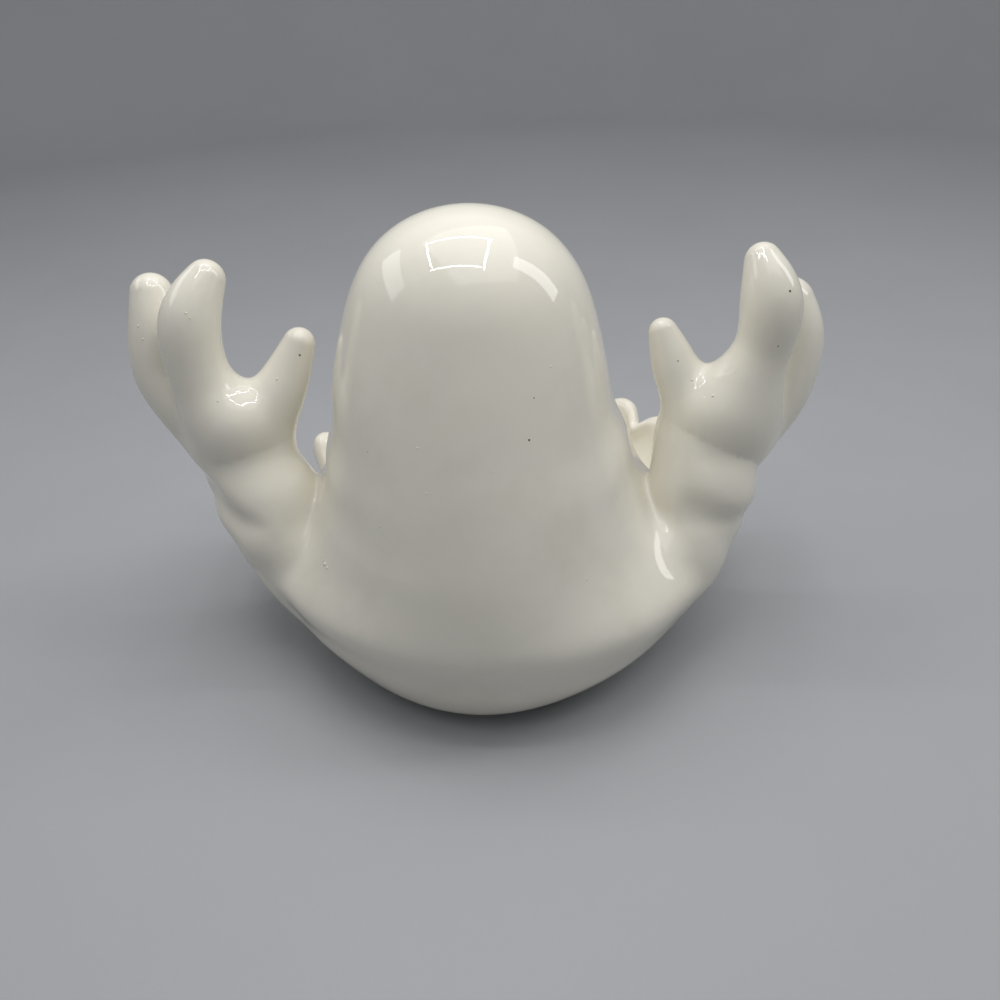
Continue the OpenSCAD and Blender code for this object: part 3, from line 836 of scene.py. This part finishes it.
def paper(look):
    """Pale matt paper sweep with faint fibres and scuffs."""
    material, tree, shader, drift = new_material("paper_sweep", (3.0, 260.0, 12.0))
    tone = tuple(look.floor)
    stops = [(0.3, shade(tone, [0.97] * 3)), (0.7, shade(tone, [1.03] * 3))]
    rough = between(tree, drift["Swell"], 0.5, 0.62)
    base = ramp(tree, drift["Cloud"], stops)
    link_finish(tree, shader, base, rough, drift["Grain"], 0.25, 0.0004)
    return material


# Sizes and colours


def length(name, description, millimetres):
    return bpy.props.FloatProperty(
        name=name, description=description, default=millimetres * MM, unit="LENGTH",
        subtype="DISTANCE",
    )


def tint(name, description, default):
    return bpy.props.FloatVectorProperty(
        name=name, description=description, default=default, subtype="COLOR", min=0, max=1
    )


def watts(name, description, default):
    return bpy.props.FloatProperty(
        name=name, description=description, default=default, unit="POWER"
    )


class GhostShape(bpy.types.PropertyGroup):
    """Sizes of the sculpted castings."""

    mesh_step: length("Mesh Step", "Size of the faces", 2.1)
    dish_wall: length("Dish Wall", "Thickness of the dish's wall", 8)
    rim_lip: length("Rim Lip", "Thickness of the rounded rim", 10)
    rim_flute: length("Rim Flute", "How far the ruffles lean out and in", 2.6)
    dish_fillet: length("Dish Fillet", "Softness of the dish's inner corners", 18)
    belly_fold: length("Belly Fold", "Softness of the folds beside the belly", 26)
    eye_depth: length("Eye Depth", "Depth of the eyes and the mouth", 3.2)
    mark_scale: bpy.props.FloatProperty(
        name="Mark Scale", description="Size of the glaze marks against the real ones",
        default=1.0, min=0.1,
    )


class GhostLook(bpy.types.PropertyGroup):
    """Colours and gloss of the finishes."""

    white: tint("White Glaze", "Colour of the white glaze", (0.88, 0.848, 0.745))
    thin: tint("Thin Glaze", "Colour where the glaze is thin on edges", (0.80, 0.755, 0.655))
    black: tint("Black Glaze", "Colour of the eyes and the mouth", (0.008, 0.008, 0.009))
    clay: tint("Bare Clay", "Colour of the unglazed foot", (0.60, 0.52, 0.42))
    floor: tint("Paper", "Colour of the floor and the backdrop", (0.405, 0.415, 0.435))
    gloss: bpy.props.FloatProperty(
        name="Glaze Roughness", description="Roughness of the white glaze", default=0.03,
        min=0, max=1, subtype="FACTOR",
    )


class GhostStudio(bpy.types.PropertyGroup):
    """Light and view."""

    strip_power: watts("Strip Power", "Power of each light strip", 0.24)
    panel_power: watts("Panel Power", "Power of the overhead panel", 7.2)
    side_power: watts("Side Power", "Power of the panel on the left side", 1.4)
    strip_turn: bpy.props.FloatProperty(
        name="Strip Turn", description="How far the square of strips is turned",
        default=math.radians(-7.0), unit="ROTATION", subtype="ANGLE",
    )
    sky_level: bpy.props.FloatProperty(
        name="Sky Level", description="Brightness of the even light from above", default=0.33,
        min=0,
    )
    lens: bpy.props.FloatProperty(
        name="Lens", description="Focal length of the view", default=34.02, unit="CAMERA",
    )


# Operators


class GHOST_OT_stage(bpy.types.Operator):
    """Paper sweep, soft panel, camera and colour settings"""

    bl_idname = "ghost.stage"
    bl_label = "Set the Stage"

    def execute(self, context):
        scene = context.scene
        scene.view_settings.view_transform = "Standard"
        studio = scene.ghost_studio
        self.lay_paper(scene.ghost_look)
        self.hang_lights(scene, studio)
        camera = bpy.data.objects.new("photo_view", bpy.data.cameras.new("photo_view"))
        scene.collection.objects.link(camera)
        camera.data.sensor_width = 36.0
        camera.data.lens = studio.lens
        camera.data.clip_start = 0.02
        place = Matrix.Translation(Vector(VIEW_PLACE) * MM)
        heading, tilt, roll = (Matrix.Rotation(math.radians(a), 4, b) for b, a in VIEW_TURNS)
        camera.matrix_world = place @ (heading @ tilt @ roll)
        scene.camera = camera
        return {"FINISHED"}

    def lay_paper(self, look):
        """Round floor of paper that sweeps up into a wall on all sides."""
        sides, flat, bend, top = 96, 1300.0, 400.0, 1150.0
        profile = [(rho, 0.0) for rho in (120.0, 300.0, 600.0, 1000.0, flat)]
        for k in range(1, 13):
            a = math.radians(90.0 * k / 12)
            profile.append((flat + bend * math.sin(a), bend - bend * math.cos(a)))
        profile.append((flat + bend, top))
        points = [(0.0, 0.0, 0.0)]
        for rho, z in profile:
            points += [(rho * c, rho * s, z) for c, s in compass(sides)]
        faces = [(0, 1 + j, 1 + (j + 1) % sides) for j in range(sides)]
        for i in range(len(profile) - 1):
            for j in range(sides):
                k = (j + 1) % sides
                a, b = 1 + i * sides, 1 + (i + 1) * sides
                faces.append((a + j, b + j, b + k, a + k))
        make_piece("paper_sweep", points, faces, material=paper(look))

    def hang_lights(self, scene, studio):
        """A square of light strips over the head, a wide soft panel above it, a dimmer panel on
        either side and an even sky."""

        def lamp(name, place, aim, size, power):
            data = bpy.data.lights.new(name, "AREA")
            data.shape = "RECTANGLE"
            data.size, data.size_y = size
            data.energy = power
            light = bpy.data.objects.new(name, data)
            light.location = Vector(place) * MM
            light.rotation_mode = "QUATERNION"
            light.rotation_quaternion = (Vector(aim) - Vector(place)).to_track_quat("-Z", "Y")
            light.visible_camera = False
            scene.collection.objects.link(light)

        def turned(x, y):
            a = studio.strip_turn
            return 48 + x * math.cos(a) - y * math.sin(a), 6 + x * math.sin(a) + y * math.cos(a)

        for name, x, y, size in (
            ("strip_left", 158.0, 0.0, (0.012, 0.274)),
            ("strip_right", -158.0, 0.0, (0.012, 0.274)),
            ("strip_back", 0.0, 137.0, (0.316, 0.012)),
            ("strip_front", 0.0, -137.0, (0.316, 0.012)),
        ):
            x, y = turned(x, y)
            lamp(name, (x, y, 620.0), (x, y, 0.0), size, studio.strip_power)
        high, low, side = (0.0, -60.0, 0.0), (0.0, 20.0, 200.0), studio.side_power
        for name, place, aim, size, power in (
            ("soft_panel", (-160.0, -120.0, 1400.0), high, (1.6, 1.3), studio.panel_power),
            ("left_panel", (900.0, -160.0, 820.0), low, (0.84, 0.30), side),
            ("right_panel", (-900.0, -80.0, 880.0), low, (0.26, 0.8), side * 1.7),
        ):
            lamp(name, place, aim, size, power)
        world = bpy.data.worlds.new("studio")
        world.use_nodes = True
        tree = world.node_tree
        sky = tree.nodes["Background"]
        path = tree.nodes.new("ShaderNodeLightPath")
        seen = between(tree, path.outputs["Is Camera Ray"], studio.sky_level, 0.42)
        sky.inputs[0].default_value = (1.0, 1.0, 1.0, 1.0)
        tree.links.new(seen, sky.inputs[1])
        scene.world = world


class GHOST_OT_castings(bpy.types.Operator):
    """Body, bowl, sleeves and hands, drawn round one field and parted at their seams"""

    bl_idname = "ghost.castings"
    bl_label = "Cast the Ghost"

    def execute(self, context):
        figure = Figure(context.scene.ghost_shape)
        step = context.scene.ghost_shape.mesh_step / MM
        points, quads = self.draw_round(figure, step)
        points = figure.settle(points, 2)
        points = even_out(figure, points, quads, 3)
        points = figure.settle(points, 1)
        faces = halve_quads(points, quads)
        bend = self.bends(figure, points, faces)
        points, bend, arms, rest = self.cut(figure, points, bend, faces, "arm", 2)
        points, bend, hands, sleeves = self.cut(figure, points, bend, arms, "hand", 2)
        points, bend, bowl, body = self.cut(figure, points, bend, rest, "bowl", 1)
        normals = figure.normals(points)
        glaze = white_glaze(context.scene.ghost_look)
        groups = {
            "ghost_body": ("body_shell", body),
            "treat_bowl": ("base_bowl", bowl),
            "left_sleeve": ("left_arm", self.on_side(points, sleeves, 1)),
            "right_sleeve": ("right_arm", self.on_side(points, sleeves, -1)),
            "left_fingers": ("left_hand", self.on_side(points, hands, 1)),
            "right_fingers": ("right_hand", self.on_side(points, hands, -1)),
        }
        for name, (node, chosen) in groups.items():
            used, where = np.unique(chosen, return_inverse=True)
            p, n, f = close_loops(points[used], normals[used], where.reshape(-1, 3))
            b = np.concatenate([bend[used], np.zeros(len(p) - len(used))])
            piece = make_piece(name, p, f, n, glaze, {"bend": b})
            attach(piece, "root")
            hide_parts(node)
        return {"FINISHED"}

    def cut(self, figure, points, bend, faces, seam, parts):
        """Parts the faces along a seam. Returns points, bends and the faces on both sides, of
        which the first is made of so many connected parts and the second of at most two."""
        _, arm, bowl = figure.fields(points)
        value = {"arm": arm, "hand": WRIST_Z - points[:, 2], "bowl": bowl}[seam]
        before = len(points)
        points, faces, low = part_mesh(points, faces, value)
        points[before:] = figure.settle(points[before:], 2)
        bend = self.carry(bend, points, before, faces)
        stray = np.zeros(len(faces), bool)
        stray[low] = ~main_parts(faces[low], parts)
        stray[~low] = ~main_parts(faces[~low], 2 if seam == "hand" else 1)
        low ^= stray
        return points, bend, faces[low], faces[~low]

    def on_side(self, points, faces, side):
        return faces[points[faces].mean(1)[:, 0] * side > 0]

    def draw_round(self, figure, step):
        """Points and quads of the figure's surface, from its field on a grid."""
        axes = [np.arange(a, b, step) for a, b in zip(DRAW_LOW, DRAW_HIGH)]
        value = np.empty([len(a) for a in axes])
        for k in range(0, len(axes[2]), DRAW_LEVELS):
            slab = slice(k, k + DRAW_LEVELS)
            grid = np.meshgrid(axes[0], axes[1], axes[2][slab], indexing="ij")
            p = np.stack([g.ravel() for g in grid], 1)
            value[:, :, slab] = figure.value(p).reshape(grid[0].shape)
        return surface_net(value, np.array(DRAW_LOW), step)

    def bends(self, figure, points, faces):
        """How sharply the surface bends: about 1 on a tight edge, -1 in a tight crease."""
        normal = figure.normals(points)
        a, b = sides_of(faces).T
        gap = points[b] - points[a]
        turn = ((normal[b] - normal[a]) * gap).sum(1) / (gap * gap).sum(1)
        n = len(points)
        count = np.maximum(np.bincount(a, minlength=n), 1)
        value = np.bincount(a, turn, n) / count
        for _ in range(6):
            value = 0.5 * value + 0.5 * np.bincount(a, value[b], n) / count
        return np.clip(value * 8.0, -1.0, 1.0)

    def carry(self, bend, points, before, faces):
        """Values for the points that a cut has added, from their neighbours."""
        fresh = len(points) - before
        if not fresh:
            return bend
        ends = sides_of(faces)
        ends = np.concatenate([ends, ends[:, ::-1]])
        take = (ends[:, 0] >= before) & (ends[:, 1] < before)
        a, b = ends[take].T
        total = np.bincount(a - before, bend[b], fresh)
        count = np.maximum(np.bincount(a - before, minlength=fresh), 1)
        return np.concatenate([bend, total / count])


class GHOST_OT_face(bpy.types.Operator):
    """Eyes and mouth: pools of black glaze that line their hollows"""

    bl_idname = "ghost.face"
    bl_label = "Glaze the Face"

    def execute(self, context):
        figure = Figure(context.scene.ghost_shape)
        glaze = black_glaze(context.scene.ghost_look)
        for name, (wide, tall, at_x, at_z) in FACE_OVALS.items():
            piece = self.pool(figure, name + "_glaze", wide, tall, at_x, at_z, glaze)
            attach(piece, "root")
            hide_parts(name)
        return {"FINISHED"}

    def pool(self, figure, name, wide, tall, at_x, at_z, glaze):
        """Thin disc of glaze on the hollow's floor, in rings that close up towards its edge."""
        rings, sides, edge = 22, 96, 0.93
        u = [(0.0, 0.0)]
        for i in range(1, rings + 1):
            r = math.sin(math.radians(90.0 * i / rings)) * edge
            u += [(r * c, r * s) for c, s in compass(sides)]
        u = np.array(u)
        shift = float(figure.shift(at_z))
        p = np.column_stack(
            [at_x + shift + u[:, 0] * wide, np.full(len(u), -30.0), at_z + u[:, 1] * tall]
        )
        half_step = np.array([0.0, 0.5, 0.0])
        for _ in range(12):
            rise = figure.value(p + half_step) - figure.value(p - half_step)
            p[:, 1] -= np.clip(figure.value(p) / np.minimum(rise, -0.3), -8, 8)
        normal = figure.normals(p)
        r = np.hypot(u[:, 0], u[:, 1]) / edge
        swell = 0.55 * np.sqrt(np.clip(1.0 - r**6, 0.0, 1.0)) - 0.25 * r**8
        under = 1.6
        front = p + normal * swell[:, None]
        back = p - normal * under
        n = len(p)
        points = np.concatenate([front, back])
        faces = []
        for j in range(sides):
            k = (j + 1) % sides
            faces.append((0, 1 + j, 1 + k))
            faces.append((n, n + 1 + k, n + 1 + j))
            for i in range(rings - 1):
                a, b = 1 + i * sides, 1 + (i + 1) * sides
                faces.append((a + j, b + j, b + k, a + k))
                faces.append((n + a + j, n + a + k, n + b + k, n + b + j))
            a = 1 + (rings - 1) * sides
            faces.append((a + k, a + j, n + a + j, n + a + k))
        return make_piece(name, points, faces, material=glaze)


class GHOST_OT_foot(bpy.types.Operator):
    """Unglazed foot with its wiped standing ring and the air hole"""

    bl_idname = "ghost.foot"
    bl_label = "Turn the Foot"

    def execute(self, context):
        sides = 160
        # Section from the hole's top down and out to the disc's top: share of the way, height
        section = [(0.0, 5.0), (0.0, 2.2), (0.004, 1.5), (0.012, 1.1), (0.2, 1.0), (0.5, 1.0)]
        section += [(0.80, 1.0), (0.845, 0.9), (0.87, 0.45), (0.885, 0.1), (0.9, 0.0)]
        section += [(0.975, 0.0), (0.988, 0.2), (0.997, 0.7), (1.0, 1.3), (1.0, 4.6), (1.0, 5.0)]
        points = []
        for share, height in section:
            for c, s in compass(sides):
                inner = (HOLE_RADIUS * c, HOLE_Y + HOLE_RADIUS * s)
                outer = (FOOT_RADIUS * c, FOOT_RADIUS * s)
                place = (i + (o - i) * share for i, o in zip(inner, outer))
                points.append((*place, height))
        n = len(section)
        faces = []
        for i in range(n):
            for j in range(sides):
                k = (j + 1) % sides
                a, b = i * sides, ((i + 1) % n) * sides
                faces.append((a + k, a + j, b + j, b + k))
        piece = make_piece("clay_foot", points, faces, material=bare_clay(context.scene.ghost_look))
        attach(piece, "root")
        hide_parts("foot")
        return {"FINISHED"}


class GHOST_OT_marks(bpy.types.Operator):
    """Dark pinholes and raised pimples of the glaze, set on the surface by geometry nodes"""

    bl_idname = "ghost.marks"
    bl_label = "Scatter the Glaze Marks"

    def execute(self, context):
        figure = Figure(context.scene.ghost_shape)
        shape, look = context.scene.ghost_shape, context.scene.ghost_look
        rng = np.random.default_rng(31)
        for name, slot, rows, extra, size, flat, material in (
            ("glaze_pinholes", "black_glaze", PINHOLES, 14, (0.16, 0.32), 0.35, iron_speck()),
            ("glaze_pimples", "white_glaze", PIMPLES, 34, (0.25, 0.5), 0.45, white_glaze(look)),
        ):
            rows = np.array(rows)
            angle = rng.uniform(0, 2 * math.pi, extra)
            reach = np.array([95.0, 80.0])[rng.integers(0, 2, extra)]
            loose = np.stack(
                [reach * np.cos(angle), reach * np.sin(angle), rng.uniform(25, 190, extra)], 1
            )
            places = np.concatenate([rows[:, :3], figure.settle(loose, 12)])
            radii = np.concatenate([rows[:, 3], rng.uniform(*size, extra)])
            places = figure.settle(places, 4)
            # Marks keep off the foot, the face and any place off the surface
            true = (np.abs(figure.value(places)) < 0.05) & (places[:, 2] > 15.0)
            true &= (places[:, 1] > -20.0) | (places[:, 2] < 110.0)
            places, radii = places[true], radii[true]
            values = {"size": radii * MM, "lean": figure.normals(places)}
            piece = make_piece(name, places, [], values=values)
            self.scatter(context, piece, shape.mark_scale, flat, material)
            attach(piece, "root")
        return {"FINISHED"}

    def scatter(self, context, piece, scale, flat, material):
        """Turns the points of a piece into low rounded spots that lean with the surface."""
        values = {"Spot Scale": scale, "Spot Height": flat}
        inputs = {"Geometry": None, **dict.fromkeys(values)}
        tree, source, sink = new_group(
            "spots_on_glaze", "Geometry", inputs, {"Geometry": None}
        )

        def node(kind, settings=None, output=0, **links):
            return add(tree, kind, settings, **links).outputs[output]

        def kept(data_type, name):
            settings = {"data_type": data_type}
            return node("GeometryNodeInputNamedAttribute", settings, "Attribute", Name=name)

        def product(a, b):
            return node("ShaderNodeMath", {"operation": "MULTIPLY"}, i0=a, i1=b)

        lean = kept("FLOAT_VECTOR", "lean")
        wide = product(kept("FLOAT", "size"), source.outputs["Spot Scale"])
        low = product(wide, source.outputs["Spot Height"])
        ball = node("GeometryNodeMeshUVSphere", None, "Mesh", Segments=10, Rings=5, Radius=1.0)
        spots = node(
            "GeometryNodeInstanceOnPoints",
            Points=source.outputs["Geometry"],
            Instance=node("GeometryNodeSetShadeSmooth", Geometry=ball),
            Rotation=node("FunctionNodeAlignRotationToVector", {"axis": "Z"}, Vector=lean),
            Scale=node("ShaderNodeCombineXYZ", X=wide, Y=wide, Z=low),
        )
        spots = node("GeometryNodeRealizeInstances", Geometry=spots)
        spots = node("GeometryNodeSetMaterial", Geometry=spots, Material=material)
        tree.links.new(spots, sink.inputs[0])
        modifier = piece.modifiers.new("spots", "NODES")
        modifier.node_group = tree
        for socket in tree.interface.items_tree:
            if socket.name in values:
                modifier[socket.identifier] = values[socket.name]
        context.view_layer.update()
        ready = piece.evaluated_get(context.evaluated_depsgraph_get())
        mesh = bpy.data.meshes.new_from_object(ready)
        piece.modifiers.clear()
        piece.data = mesh
        if not mesh.polygons:
            raise RuntimeError("no spots were made for " + piece.name)
        mesh.materials.clear()
        mesh.materials.append(material)
        mesh.polygons.foreach_set("material_index", np.zeros(len(mesh.polygons), np.int32))


class GHOST_PT_panel(bpy.types.Panel):
    """Lists the steps that build the ghost dish"""

    bl_label = "Ghost Dish"
    bl_idname = "GHOST_PT_panel"
    bl_space_type = "VIEW_3D"
    bl_region_type = "UI"
    bl_category = "Ghost Dish"

    def draw(self, context):
        for operator in STEPS:
            self.layout.operator(operator.bl_idname)
        for key, kind in GROUPS.items():
            box = self.layout.box()
            for name in kind.__annotations__:
                box.prop(getattr(context.scene, key), name)


STEPS = (GHOST_OT_stage, GHOST_OT_castings, GHOST_OT_face, GHOST_OT_foot, GHOST_OT_marks)
GROUPS = {"ghost_shape": GhostShape, "ghost_look": GhostLook, "ghost_studio": GhostStudio}


def register():
    for group in (*GROUPS.values(), *STEPS, GHOST_PT_panel):
        bpy.utils.register_class(group)
    for key, group in GROUPS.items():
        setattr(bpy.types.Scene, key, bpy.props.PointerProperty(type=group))


def unregister():
    for key in GROUPS:
        delattr(bpy.types.Scene, key)
    for group in (GHOST_PT_panel, *reversed(STEPS), *GROUPS.values()):
        bpy.utils.unregister_class(group)


def main():
    register()
    bpy.ops.ghost.stage()
    bpy.ops.ghost.castings()
    bpy.ops.ghost.face()
    bpy.ops.ghost.foot()
    bpy.ops.ghost.marks()


if __name__ == "__main__":
    main()
